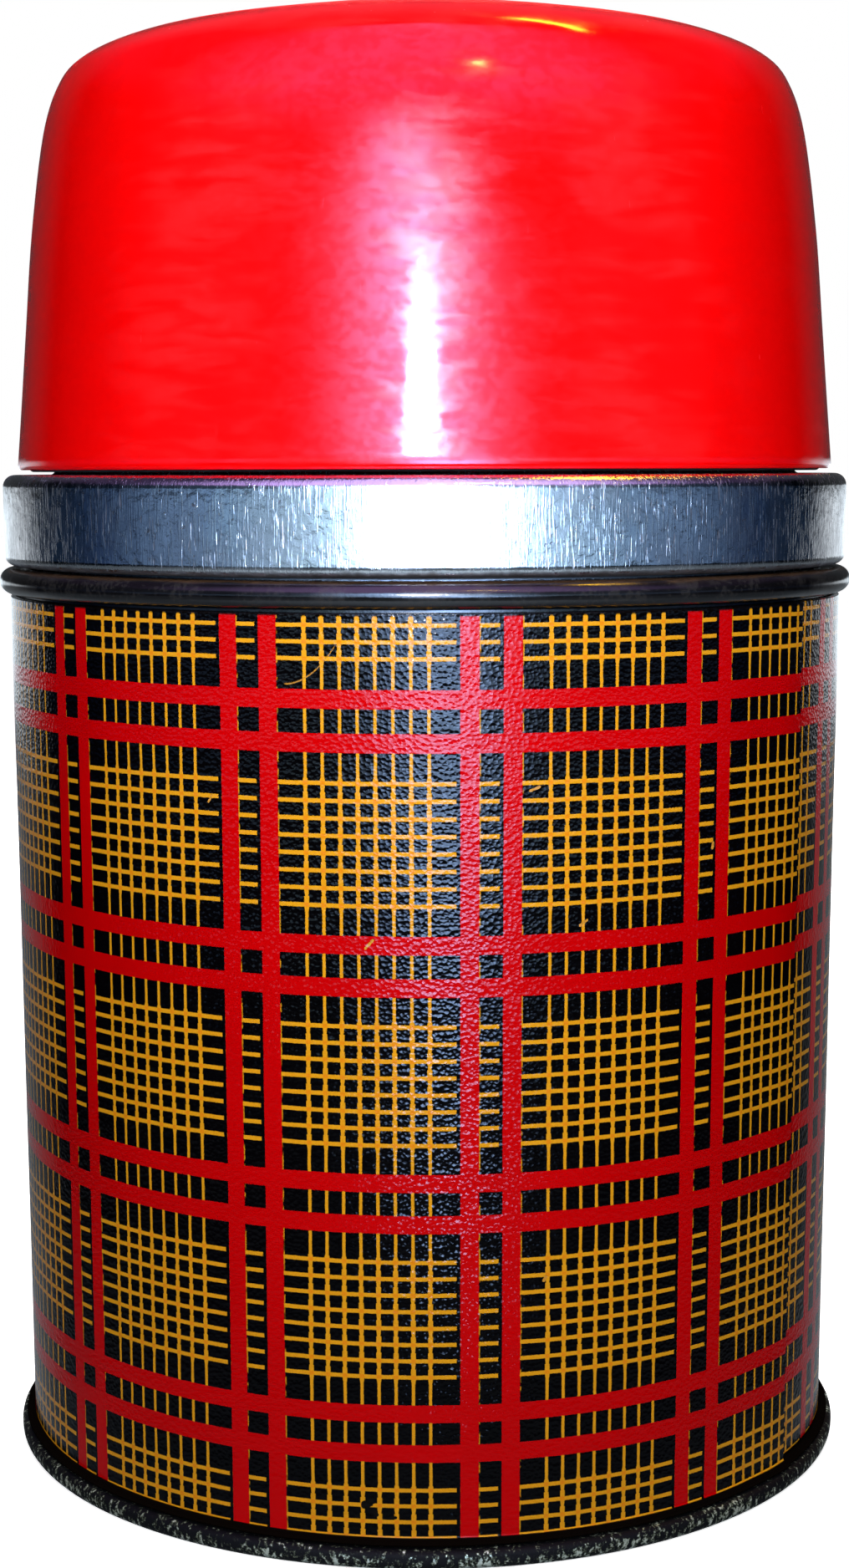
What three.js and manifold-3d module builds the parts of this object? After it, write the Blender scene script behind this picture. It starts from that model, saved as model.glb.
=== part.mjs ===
// Wide-mouth vacuum food jar: a printed steel case on a pressed base, a double-walled glass filler,
// a polished collar that screws into the case, a stopper that screws into the collar's neck and a
// cup that screws over the neck. Millimetres, +Z up, origin at the centre of the base on the
// surface that the jar stands on. Every screw thread is right-hand and has the same lead.
import * as THREE from "three";
import { mergeVertices } from "three/addons/utils/BufferGeometryUtils.js";
import Module from "manifold-3d";

const wasm = await Module();
wasm.setup();

// Driving dimensions.
const OUTER_FACETS = 36; // sides of the round parts that show or that turn
const INNER_FACETS = 24; // sides of the round parts hidden inside
const GAP = 0.3; // clearance between neighbouring parts

const JACKET_RADIUS = 46;
const JACKET_SHEET = 0.6;
const JACKET_BOTTOM = 3.2;
const JACKET_TOP = 96.3;
const JACKET_FLARE = 0.95; // how far the lower edge is turned out over the base rim
const JACKET_FLARE_TOP = 5.1;

const BASE_RIM_RADIUS = 47.5;
const BASE_RIM_HEIGHT = 2.9;
const BASE_SHEET = 0.7;
const BASE_PANEL_TOP = 4.7;

const BEAD_RADIUS = 47.15;
const BEAD_HEIGHT = 2.7;
const CASE_RING_RADIUS = JACKET_RADIUS - JACKET_SHEET - GAP;
const CASE_RING_DEPTH = 11;

const COLLAR_RADIUS = 46.5;
const COLLAR_SHEET = 0.8;
const COLLAR_EDGE_RADIUS = 1.8;
const COLLAR_CURL = { height: 1.2, depth: 0.7 }; // the skirt's lower edge, turned slightly inwards
const SHOULDER_TOP = 109.3; // the collar's flat shoulder, which the cup's seal closes on
const NECK_HEIGHT = 13;
const SLEEVE_DEPTH = 23.5; // how far the collar's inner sleeve reaches below the shoulder

const GLASS_WALL = 1.2;
const OUTER_GLASS_RADIUS = 40.8;
const INNER_GLASS_RADIUS = 36.6;
const GLASS_BOTTOM = 12;
const GLASS_LIP_TOP = 109.7;
const MOUTH_RADIUS = 31; // the opening that food goes through

const STOPPER_SEAT = 122.5; // underside of the stopper's flange
const PLUG_BOTTOM = 98; // how far down the stopper's plug reaches
const CUP_RIM = 109.8; // lower edge of the cup

// Screw threads: a wall radius and a crest radius for each half of a pair.
const THREAD_LEAD = 8;
const THREAD_STARTS = 2;
const THREAD_PITCH = THREAD_LEAD / THREAD_STARTS;
const RIB_ROOT_WIDTH = 1.7;
const RIB_CREST_WIDTH = 0.8;
const RIB_BURIED = 0.4; // how deep a rib is set into its wall
const RIB_FACETS = 22; // each rib runs round this many of the wall's facets
const RIB_RUN_OUT = 3; // facets over which a rib's end sinks into its wall
const CASE_NUT_START = 88; // height where the first rib of each thread starts
const CASE_BOLT_START = CASE_NUT_START + THREAD_PITCH / 2;
const CUP_BOLT_START = 113.5;
const CUP_NUT_START = CUP_BOLT_START + THREAD_PITCH / 2;
const STOPPER_BOLT_START = 113.5;
const STOPPER_NUT_START = STOPPER_BOLT_START + THREAD_PITCH / 2;
const CASE_THREAD = { bolt: 42.4, boltCrest: 43.4, nut: 43.9, nutCrest: 42.8 };
const CUP_THREAD = { bolt: 40.8, boltCrest: 41.8, nut: 42.4, nutCrest: 41.3 };
const STOPPER_THREAD = { bolt: 36.4, boltCrest: 37.4, nut: 37.9, nutCrest: 36.9 };

// Finishes.
const FINISHES = {
  plaid: { color: 0x8c1414, roughness: 0.35, metalness: 0.1 },
  darkSteel: { color: 0x3a3a3c, roughness: 0.45, metalness: 0.9 },
  polished: { color: 0xc9ccd2, roughness: 0.18, metalness: 1 },
  glass: { color: 0xd8dde2, roughness: 0.08, metalness: 0.6 },
  card: { color: 0xb08d5c, roughness: 0.9, metalness: 0 },
  rubber: { color: 0x1c1c1e, roughness: 0.8, metalness: 0 },
  felt: { color: 0x8f8a80, roughness: 0.95, metalness: 0 },
  ivory: { color: 0xe9dfc8, roughness: 0.4, metalness: 0 },
  foam: { color: 0xf2efe6, roughness: 0.95, metalness: 0 },
  redPlastic: { color: 0xe00a0a, roughness: 0.2, metalness: 0 },
};

// Solids and meshes.

// A solid of revolution about +Z. The outline is [radius, height] points, anticlockwise with the
// radius to the right, and either starts and ends on the axis or closes on itself.
function turned(outline, facets = OUTER_FACETS) {
  const points = outline.map(([radius, height]) => new THREE.Vector2(radius, height));
  const onAxis = outline[0][0] === 0;
  if (!onAxis) points.push(points[0].clone());
  return new THREE.LatheGeometry(points, facets).rotateX(Math.PI / 2);
}

// A ring of rectangular section.
function ring(inner, outer, bottom, top, facets = OUTER_FACETS) {
  const outline = [
    [inner, bottom],
    [outer, bottom],
    [outer, top],
    [inner, top],
  ];
  return turned(outline, facets);
}

function solidOf(geometry) {
  const bare = geometry.clone();
  bare.deleteAttribute("normal");
  bare.deleteAttribute("uv");
  const merged = mergeVertices(bare, 1e-4);
  const mesh = new wasm.Mesh({
    numProp: 3,
    vertProperties: merged.attributes.position.array,
    triVerts: Uint32Array.from(merged.index.array),
  });
  return new wasm.Manifold(mesh);
}

// Several overlapping closed geometries joined into one.
function joined(...geometries) {
  const whole = geometries.map(solidOf).reduce((sum, next) => sum.add(next));
  const mesh = whole.getMesh();
  const geometry = new THREE.BufferGeometry();
  geometry.setAttribute("position", new THREE.BufferAttribute(mesh.vertProperties, 3));
  geometry.setIndex(new THREE.BufferAttribute(mesh.triVerts, 1));
  geometry.computeVertexNormals();
  return geometry;
}

function part(name, geometry, finish, height = 0) {
  const mesh = new THREE.Mesh(geometry, new THREE.MeshStandardMaterial(FINISHES[finish]));
  mesh.name = name;
  mesh.position.z = height;
  return mesh;
}

// Points of an arc from one angle to another, in degrees from the outward radius.
function arc(centre, radius, from, to, steps) {
  const points = [];
  for (let i = 0; i <= steps; i += 1) {
    const angle = THREE.MathUtils.degToRad(from + ((to - from) * i) / steps);
    points.push([centre[0] + radius * Math.cos(angle), centre[1] + radius * Math.sin(angle)]);
  }
  return points;
}

// The ribs of a right-hand thread on a wall, one for each start. Each is a straight bar bent round
// the axis along the thread's helix, with both ends sinking into the wall. The first rib's centre
// is at height bottom where it starts.
function threadRibs(wall, crest, bottom) {
  const buried = wall - Math.sign(crest - wall) * RIB_BURIED;
  const section = new THREE.Shape([
    new THREE.Vector2(buried, -RIB_ROOT_WIDTH / 2),
    new THREE.Vector2(crest, -RIB_CREST_WIDTH / 2),
    new THREE.Vector2(crest, RIB_CREST_WIDTH / 2),
    new THREE.Vector2(buried, RIB_ROOT_WIDTH / 2),
  ]);
  const facetAngle = (2 * Math.PI) / OUTER_FACETS;
  const bar = { depth: RIB_FACETS, steps: RIB_FACETS, bevelEnabled: false };
  const ribs = [];
  for (let start = 0; start < THREAD_STARTS; start += 1) {
    const rib = new THREE.ExtrudeGeometry(section, bar);
    const place = rib.attributes.position;
    for (let i = 0; i < place.count; i += 1) {
      const along = RIB_FACETS - place.getZ(i);
      const fromEnd = Math.min(along, RIB_FACETS - along);
      const rise = THREE.MathUtils.clamp(fromEnd / RIB_RUN_OUT, 0.2, 1);
      const radius = buried + (place.getX(i) - buried) * rise;
      const turn = along * facetAngle;
      const angle = turn + (start * 2 * Math.PI) / THREAD_STARTS;
      const height = bottom + place.getY(i) + (THREAD_LEAD * turn) / (2 * Math.PI);
      place.setXYZ(i, radius * Math.cos(angle), radius * Math.sin(angle), height);
    }
    ribs.push(rib);
  }
  return ribs;
}

// The case.

// Pressed steel base: a raised panel whose wall fits inside the jacket, and a rolled rim under the
// jacket's lower edge. The jar stands on the rim's flat.
function basePan() {
  const wallOutside = JACKET_RADIUS - JACKET_SHEET - GAP;
  const wallInside = wallOutside - 0.8;
  return turned([
    [0, BASE_PANEL_TOP - BASE_SHEET],
    [wallInside, BASE_PANEL_TOP - BASE_SHEET],
    [wallInside, 0.6],
    [wallInside + 0.7, 0],
    [BASE_RIM_RADIUS - 1.1, 0],
    [BASE_RIM_RADIUS - 0.4, 0.4],
    [BASE_RIM_RADIUS, 1.3],
    [BASE_RIM_RADIUS, 2],
    [BASE_RIM_RADIUS - 0.3, BASE_RIM_HEIGHT],
    [wallOutside, BASE_RIM_HEIGHT],
    [wallOutside, BASE_PANEL_TOP],
    [0, BASE_PANEL_TOP],
  ]);
}

// Rolled sheet-steel tube with its lower edge turned out over the base rim. The outer edge of its
// lapped side seam stands a little proud.
function jacket() {
  const lapWidth = 5.8;
  const lapOffset = -0.9; // along the facet, from its middle
  const lapProud = 0.25;
  const lapBottom = JACKET_FLARE_TOP + GAP;
  const lapHeight = JACKET_TOP - lapBottom - GAP;
  const lapAngle = THREE.MathUtils.degToRad(-35); // middle of the facet that carries the seam
  const facetDistance = JACKET_RADIUS * Math.cos(Math.PI / OUTER_FACETS);
  const inside = JACKET_RADIUS - JACKET_SHEET;
  const tube = turned([
    [inside + JACKET_FLARE, JACKET_BOTTOM],
    [JACKET_RADIUS + JACKET_FLARE, JACKET_BOTTOM],
    [JACKET_RADIUS, JACKET_FLARE_TOP],
    [JACKET_RADIUS, JACKET_TOP],
    [inside, JACKET_TOP],
    [inside, JACKET_FLARE_TOP],
  ]);
  const lap = new THREE.BoxGeometry(2 * lapProud, lapWidth, lapHeight);
  lap.translate(facetDistance, lapOffset, lapBottom + lapHeight / 2);
  lap.rotateZ(lapAngle);
  return joined(tube, lap);
}

// Dark steel ring in the top of the jacket: a half-round bead outside, and inside it the sleeve
// that the collar screws into. Height 0 is the jacket's upper edge.
function caseRing() {
  const half = BEAD_HEIGHT / 2;
  const bead = arc([BEAD_RADIUS - half, GAP + half], half, -90, 90, 6);
  const outline = [
    [CASE_THREAD.nut, -CASE_RING_DEPTH],
    [CASE_RING_RADIUS, -CASE_RING_DEPTH],
    [CASE_RING_RADIUS, GAP],
    ...bead,
    [CASE_THREAD.nut, GAP + BEAD_HEIGHT],
  ];
  const ribs = threadRibs(CASE_THREAD.nut, CASE_THREAD.nutCrest, CASE_NUT_START - JACKET_TOP);
  return joined(turned(outline), ...ribs);
}

// Corrugated card round the glass.
function cardSleeve() {
  const outer = CASE_RING_RADIUS - 0.2;
  const thickness = 2.1;
  return ring(outer - thickness, outer, 0, 70, INNER_FACETS);
}

// Pad between the base and the glass, with a hole for the glass's sealed tip.
function bottomCushion() {
  const height = GLASS_BOTTOM - BASE_PANEL_TOP - 2 * GAP;
  return ring(7.5, 31, 0, height, INNER_FACETS);
}

function makeCase() {
  const group = new THREE.Group();
  group.add(
    part("base_pan", basePan(), "darkSteel"),
    part("jacket", jacket(), "plaid"),
    part("case_ring", caseRing(), "darkSteel", JACKET_TOP),
    part("card_sleeve", cardSleeve(), "card", GLASS_BOTTOM + 2),
    part("bottom_cushion", bottomCushion(), "felt", BASE_PANEL_TOP + GAP),
  );
  return group;
}

// The glass filler. Height 0 is the outer glass's flat bottom.

const FILLER_LIP = GLASS_LIP_TOP - GLASS_BOTTOM;

// Outer glass: a bottle with the sealed tip under it, drawn in to a neck under the lip.
function outerGlass() {
  const outside = OUTER_GLASS_RADIUS;
  const inside = OUTER_GLASS_RADIUS - GLASS_WALL;
  const neckTop = FILLER_LIP - 3;
  return turned(
    [
      [0, -4.5],
      [1.6, -3.8],
      [2.6, -1.5],
      [4.5, 0],
      [30, 0],
      [38, 3.5],
      [outside, 10],
      [outside, neckTop - 9],
      [outside - 2.4, neckTop - 4.5],
      [34.4, neckTop - 2.3],
      [34.4, neckTop],
      [33, neckTop],
      [33, neckTop - 3],
      [inside - 2.2, neckTop - 5.6],
      [inside, neckTop - 9.6],
      [inside, 10.5],
      [37.2, 4.8],
      [29.8, GLASS_WALL],
      [0, GLASS_WALL],
    ],
    INNER_FACETS,
  );
}

// Inner glass: the jar that holds the food. Its lip turns outwards over the outer glass's neck.
function innerGlass() {
  const outside = INNER_GLASS_RADIUS;
  const inside = INNER_GLASS_RADIUS - GLASS_WALL;
  const floor = 6.7;
  const lipUnderside = FILLER_LIP - 2.7;
  const lipRadius = 34.6;
  return turned(
    [
      [0, floor],
      [28.5, floor],
      [34.4, floor + 2.8],
      [outside, floor + 8.8],
      [outside, 84.5],
      [34.4, 89.3],
      [MOUTH_RADIUS + 1.3, 91.4],
      [MOUTH_RADIUS + 1.3, lipUnderside],
      [lipRadius, lipUnderside],
      [lipRadius, FILLER_LIP - 0.7],
      [lipRadius - 0.7, FILLER_LIP],
      [MOUTH_RADIUS + 0.8, FILLER_LIP],
      [MOUTH_RADIUS, FILLER_LIP - 0.7],
      [MOUTH_RADIUS, 91],
      [33.5, 88.5],
      [inside, 84],
      [inside, floor + 9.3],
      [33.5, floor + 3.8],
      [28, floor + GLASS_WALL],
      [0, floor + GLASS_WALL],
    ],
    INNER_FACETS,
  );
}

// Rubber thimble over the sealed tip. Height 0 is its underside.
function tipGuard() {
  return turned(
    [
      [0, 0],
      [6, 0],
      [6.8, 0.8],
      [6.8, 6],
      [5.2, 6],
      [3.3, 4.6],
      [2.4, 2.1],
      [0, 1.7],
    ],
    INNER_FACETS / 2,
  );
}

// Three pads between the glass walls keep them apart.
function glassSpacers() {
  const thickness = 1.9;
  const inner = INNER_GLASS_RADIUS + GAP;
  const height = 18;
  const spacers = [];
  for (let i = 0; i < 3; i += 1) {
    const angle = THREE.MathUtils.degToRad(7.5 + 120 * i);
    const pad = new THREE.CylinderGeometry(3.5, 3.5, thickness, 12);
    pad.rotateZ(Math.PI / 2);
    const mesh = part(`glass_spacer_${i + 1}`, pad, "felt", height);
    mesh.position.x = (inner + thickness / 2) * Math.cos(angle);
    mesh.position.y = (inner + thickness / 2) * Math.sin(angle);
    mesh.rotation.z = angle;
    spacers.push(mesh);
  }
  return spacers;
}

// Rubber ring between the glass's shoulder and the collar.
function neckGasket() {
  const top = FILLER_LIP;
  return turned(
    [
      [34.9, top - 5],
      [38.6, top - 7.1],
      [39.6, top - 6.5],
      [39.6, top],
      [34.9, top],
    ],
    INNER_FACETS,
  );
}

function makeFiller() {
  const group = new THREE.Group();
  group.position.z = GLASS_BOTTOM;
  group.add(
    part("filler_outer_glass", outerGlass(), "glass"),
    part("filler_inner_glass", innerGlass(), "glass"),
    part("tip_guard", tipGuard(), "rubber", -6.5),
    part("neck_gasket", neckGasket(), "rubber"),
    ...glassSpacers(),
  );
  return group;
}

// The collar. Height 0 is its flat shoulder.

// Polished skirt, shoulder and neck, with the threaded sleeve that screws into the case.
function collar() {
  const skirtInside = COLLAR_RADIUS - COLLAR_SHEET;
  const skirtBottom = JACKET_TOP + GAP + BEAD_HEIGHT + GAP - SHOULDER_TOP;
  const edge = arc(
    [COLLAR_RADIUS - COLLAR_EDGE_RADIUS, -COLLAR_EDGE_RADIUS],
    COLLAR_EDGE_RADIUS,
    0,
    90,
    3,
  );
  const outline = [
    [CASE_THREAD.bolt - COLLAR_SHEET, -SLEEVE_DEPTH],
    [CASE_THREAD.bolt, -SLEEVE_DEPTH],
    [CASE_THREAD.bolt, -COLLAR_SHEET],
    [skirtInside - 1, -COLLAR_SHEET],
    [skirtInside, -COLLAR_SHEET - 1],
    [skirtInside, skirtBottom + COLLAR_CURL.height],
    [skirtInside - COLLAR_CURL.depth, skirtBottom],
    [COLLAR_RADIUS - COLLAR_CURL.depth, skirtBottom],
    [COLLAR_RADIUS, skirtBottom + COLLAR_CURL.height],
    ...edge,
    [CUP_THREAD.bolt, 0],
    [CUP_THREAD.bolt, NECK_HEIGHT],
    [CUP_THREAD.bolt - COLLAR_SHEET, NECK_HEIGHT],
    [CUP_THREAD.bolt - COLLAR_SHEET, -COLLAR_SHEET],
    [CASE_THREAD.bolt - COLLAR_SHEET, -COLLAR_SHEET],
  ];
  const caseStart = CASE_BOLT_START - SHOULDER_TOP;
  const cupStart = CUP_BOLT_START - SHOULDER_TOP;
  const caseRibs = threadRibs(CASE_THREAD.bolt, CASE_THREAD.boltCrest, caseStart);
  const cupRibs = threadRibs(CUP_THREAD.bolt, CUP_THREAD.boltCrest, cupStart);
  return joined(turned(outline), ...caseRibs, ...cupRibs);
}

// Plastic liner in the neck: the stopper's thread above, and a flange that holds the gasket down.
function threadInsert() {
  const outer = CUP_THREAD.bolt - COLLAR_SHEET - GAP;
  const bottom = GLASS_LIP_TOP + GAP - SHOULDER_TOP;
  const top = NECK_HEIGHT - 0.1;
  const flangeInner = 36.2;
  const flangeTop = bottom + 1.6;
  const outline = [
    [flangeInner, bottom],
    [outer, bottom],
    [outer, top],
    [STOPPER_THREAD.nut, top],
    [STOPPER_THREAD.nut, flangeTop],
    [flangeInner, flangeTop],
  ];
  const start = STOPPER_NUT_START - SHOULDER_TOP;
  const ribs = threadRibs(STOPPER_THREAD.nut, STOPPER_THREAD.nutCrest, start);
  return joined(turned(outline), ...ribs);
}

function makeCollar() {
  const group = new THREE.Group();
  group.position.z = SHOULDER_TOP;
  group.add(
    part("collar", collar(), "polished"),
    part("thread_insert", threadInsert(), "ivory"),
  );
  return group;
}

// The stopper. Height 0 is the underside of its flange.

const STOPPER_SKIRT_BOTTOM = -10.7;
const DISH_FLOOR = -5.7;
const DISH_UNDERSIDE = DISH_FLOOR - 1.8;
const STOPPER_TOP = 3.6;
const PLUG_WALL = 1.5;

// Moulded body: a threaded skirt, a flange and a dished top with a bar to turn it by.
function stopperBody() {
  const skirt = STOPPER_THREAD.bolt;
  const flange = 40.2;
  const outline = [
    [0, DISH_UNDERSIDE],
    [26.6, DISH_UNDERSIDE],
    [28, 1.6],
    [skirt - 2, 1.6],
    [skirt - 2, STOPPER_SKIRT_BOTTOM],
    [skirt, STOPPER_SKIRT_BOTTOM],
    [skirt, 0],
    [flange, 0],
    [flange, STOPPER_TOP - 1],
    [flange - 1, STOPPER_TOP],
    [27, STOPPER_TOP],
    [26.2, STOPPER_TOP - 0.8],
    [24.8, DISH_FLOOR],
    [0, DISH_FLOOR],
  ];
  const ribs = threadRibs(skirt, STOPPER_THREAD.boltCrest, STOPPER_BOLT_START - STOPPER_SEAT);
  return joined(turned(outline), gripBar(), ...ribs);
}

function gripBar() {
  const length = 51;
  const foot = 4.6;
  const top = 3.6;
  const section = new THREE.Shape([
    new THREE.Vector2(-foot, DISH_FLOOR - 0.5),
    new THREE.Vector2(foot, DISH_FLOOR - 0.5),
    new THREE.Vector2(top, STOPPER_TOP - 2),
    new THREE.Vector2(top - 1, STOPPER_TOP - 1),
    new THREE.Vector2(1 - top, STOPPER_TOP - 1),
    new THREE.Vector2(-top, STOPPER_TOP - 2),
  ]);
  const bar = new THREE.ExtrudeGeometry(section, { depth: length, bevelEnabled: false });
  bar.translate(0, 0, -length / 2);
  bar.rotateX(Math.PI / 2);
  bar.rotateZ(Math.PI / 2);
  return bar;
}

// Hollow plug that reaches into the glass's mouth. Its flange seats inside the threaded skirt.
function stopperPlug() {
  const outside = 30.2;
  const bottom = PLUG_BOTTOM - STOPPER_SEAT;
  const flange = STOPPER_THREAD.bolt - 2 - GAP;
  const flangeBottom = STOPPER_SKIRT_BOTTOM + GAP;
  return turned([
    [0, bottom],
    [outside - 1.4, bottom],
    [outside, bottom + 1.4],
    [outside, flangeBottom],
    [flange, flangeBottom],
    [flange, flangeBottom + 2],
    [outside - PLUG_WALL, flangeBottom + 2],
    [outside - PLUG_WALL, bottom + PLUG_WALL],
    [0, bottom + PLUG_WALL],
  ]);
}

// Block of insulating foam inside the plug.
function stopperCore() {
  const bottom = PLUG_BOTTOM + PLUG_WALL + GAP - STOPPER_SEAT;
  const radius = 28;
  const bevel = 1.6;
  return turned(
    [
      [0, bottom],
      [radius, bottom],
      [radius, DISH_UNDERSIDE - GAP - bevel],
      [radius - bevel, DISH_UNDERSIDE - GAP],
      [0, DISH_UNDERSIDE - GAP],
    ],
    INNER_FACETS,
  );
}

// Rubber ring that the stopper presses on the glass's lip.
function stopperGasket() {
  const bottom = GLASS_LIP_TOP + GAP - STOPPER_SEAT;
  return ring(MOUTH_RADIUS + 0.6, 35.6, bottom, STOPPER_SKIRT_BOTTOM - GAP);
}

function makeStopper() {
  const group = new THREE.Group();
  group.position.z = STOPPER_SEAT;
  group.add(
    part("stopper_body", stopperBody(), "ivory"),
    part("stopper_plug", stopperPlug(), "ivory"),
    part("stopper_core", stopperCore(), "foam"),
    part("stopper_gasket", stopperGasket(), "rubber"),
  );
  return group;
}

// The cup. Height 0 is its lower edge when it is on the jar.

const CUP_RIM_RADIUS = 44.85;
const CUP_HEIGHT = 46.2;
const SEAL_REBATE = { radius: 44.1, depth: 1.2 };

// Moulded cup with slightly barrelled walls, a rounded corner and a shallow crown whose raised
// ring is the foot that the cup stands on when it is used. Its thread is inside the rim.
function cupShell() {
  const corner = arc([31.5, 34.7], 9.6, 5, 76, 4);
  const innerCorner = arc([29.5, 32.9], 8.9, 78, 8, 3);
  const threadTop = 12.7;
  const foot = { inner: 18, outer: 23 };
  const outline = [
    [CUP_THREAD.nut, SEAL_REBATE.depth],
    [SEAL_REBATE.radius, SEAL_REBATE.depth],
    [SEAL_REBATE.radius, 0],
    [CUP_RIM_RADIUS - 0.3, 0],
    [CUP_RIM_RADIUS, 0.5],
    [43.5, 15.2],
    [42.55, 25.2],
    ...corner,
    [foot.outer, CUP_HEIGHT],
    [foot.inner, CUP_HEIGHT],
    [foot.inner - 1, CUP_HEIGHT - 0.8],
    [0, CUP_HEIGHT - 0.8],
    [0, CUP_HEIGHT - 3.2],
    [20, CUP_HEIGHT - 3.2],
    ...innerCorner,
    [40.6, 25.2],
    [41.7, threadTop + 1.5],
    [CUP_THREAD.nut, threadTop],
  ];
  const start = outline.findIndex(([radius]) => radius === 0) + 1;
  const fromAxis = [...outline.slice(start), ...outline.slice(0, start)];
  const ribs = threadRibs(CUP_THREAD.nut, CUP_THREAD.nutCrest, CUP_NUT_START - CUP_RIM);
  return joined(turned(fromAxis), ...ribs);
}

// Dark sealing ring in the cup's rim.
function cupRimSeal() {
  const bottom = SHOULDER_TOP + GAP - CUP_RIM;
  return ring(42.6, 43.6, bottom, SEAL_REBATE.depth - GAP);
}

function makeCup() {
  const group = new THREE.Group();
  group.position.z = CUP_RIM;
  group.add(
    part("cup_shell", cupShell(), "redPlastic"),
    part("cup_rim_seal", cupRimSeal(), "rubber"),
  );
  return group;
}

const flask = new THREE.Group();
flask.add(makeCase(), makeFiller(), makeCollar(), makeStopper(), makeCup());

export default flask;
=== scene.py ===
"""A wide-mouth vacuum food jar: a plaid tinplate case, a polished collar and a red screw-on cup.

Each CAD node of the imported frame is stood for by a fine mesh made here. Outlines are (radius,
height) points in millimetres, anticlockwise with the radius to the right; a third number rounds
that corner. The meshes are in metres in the frame's own axes: +Z up, the front towards -Y.
"""

import math

import bpy
import numpy as np
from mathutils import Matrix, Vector

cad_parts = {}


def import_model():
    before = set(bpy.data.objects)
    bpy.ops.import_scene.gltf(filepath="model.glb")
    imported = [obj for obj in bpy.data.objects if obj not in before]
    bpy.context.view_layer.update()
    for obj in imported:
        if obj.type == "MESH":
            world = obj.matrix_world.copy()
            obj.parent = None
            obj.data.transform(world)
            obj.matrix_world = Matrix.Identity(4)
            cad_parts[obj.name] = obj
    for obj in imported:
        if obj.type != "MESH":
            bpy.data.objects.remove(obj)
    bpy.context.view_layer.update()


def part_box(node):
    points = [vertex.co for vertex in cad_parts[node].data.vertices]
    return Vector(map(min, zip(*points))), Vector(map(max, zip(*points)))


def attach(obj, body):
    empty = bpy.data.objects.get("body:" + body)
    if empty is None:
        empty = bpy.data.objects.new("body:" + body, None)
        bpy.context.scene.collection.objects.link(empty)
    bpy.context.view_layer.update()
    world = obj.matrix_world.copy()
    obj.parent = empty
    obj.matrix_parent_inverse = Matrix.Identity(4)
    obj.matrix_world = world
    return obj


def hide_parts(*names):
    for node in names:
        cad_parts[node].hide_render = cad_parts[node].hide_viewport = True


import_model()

MM = 0.001
COLUMNS = 192  # points round the parts that show
INNER_COLUMNS = 128  # points round most parts hidden inside
SHARP = math.radians(32)  # edges that turn further than this are drawn sharp
CORNER_REACH = 0.49  # the share of its shorter side that a rounded corner may use up
CORNER_STEP = 13  # degrees between the points of a rounded corner
ON_AXIS = 1e-6
LAP_ANGLE = math.radians(57.5)  # the side seam's edge, from the front (-Y) towards +X

# Screw threads, as on the frame: right-hand, two starts, each rib a little over half a turn.
THREAD_LEAD = 8
THREAD_STARTS = 2
RIB_TURN = math.radians(220)
RIB_RUN_OUT = math.radians(30)
RIB_SECTIONS = 111
RIB_BURIED = 0.4
RIB_ROOT_WIDTH = 1.7
RIB_CREST_WIDTH = 0.8
RIB_CREST_ROUND = 0.15  # how much narrower the crest is than its nominal width, at each side
RIB_SHOULDER_SPREAD = 0.1
RIB_SHOULDER = 0.72  # the share of a rib's height at which its shoulders lie
RIB_END_RISE = 0.2  # the share of its height that a rib keeps at its very ends
CASE_BOLT_START = 90
CUP_BOLT_START = 113.5
STOPPER_BOLT_START = 113.5
NUT_OFFSET = THREAD_LEAD / THREAD_STARTS / 2  # the nut's ribs start half a pitch off the bolt's


# Sizes from the frame.


def extent(node):
    """A CAD node's lowest height, highest height and outer radius, in millimetres."""
    low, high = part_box(node)
    return low.z / MM, high.z / MM, high.x / MM


FOOT_FLARE = 0.95  # how far the jacket's foot stands out from its wall
FOOT_DROP = 0.7  # how far the jacket comes down over the base pan's rolled rim
JACKET_RADIUS = extent("jacket")[2] - FOOT_FLARE
SKIRT_DEPTH = 10.2  # how far the collar's skirt reaches below the cup's mouth
COLLAR_LOW = extent("cup_shell")[0] - SKIRT_DEPTH
BEAD_TOP = extent("case_ring")[1]
CUP_TOP = extent("cup_shell")[1]


# Meshes.


def arc(centre, radius, start, end, steps=16):
    """Points of an arc, from one angle to another in degrees from the outward radius."""
    angles = np.radians(np.linspace(start, end, steps + 1))
    return [(centre[0] + radius * math.cos(a), centre[1] + radius * math.sin(a)) for a in angles]


def curve(points, steps=6):
    """A smooth curve through the points."""
    p = np.array([points[0], *points, points[-1]], float)
    p[0] = 2 * p[1] - p[2]
    p[-1] = 2 * p[-2] - p[-3]
    smooth = []
    for i in range(1, len(p) - 2):
        for t in np.arange(steps) / steps:
            bend = 2 * p[i - 1] - 5 * p[i] + 4 * p[i + 1] - p[i + 2]
            swing = 3 * (p[i] - p[i + 1]) + p[i + 2] - p[i - 1]
            slope = p[i + 1] - p[i - 1]
            smooth.append(tuple(p[i] + 0.5 * (slope * t + bend * t**2 + swing * t**3)))
    return [*smooth, tuple(p[-2])]


def eased(share):
    """A share from 0 to 1, made to start and end gently."""
    return share * share * (3 - 2 * share)


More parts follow.
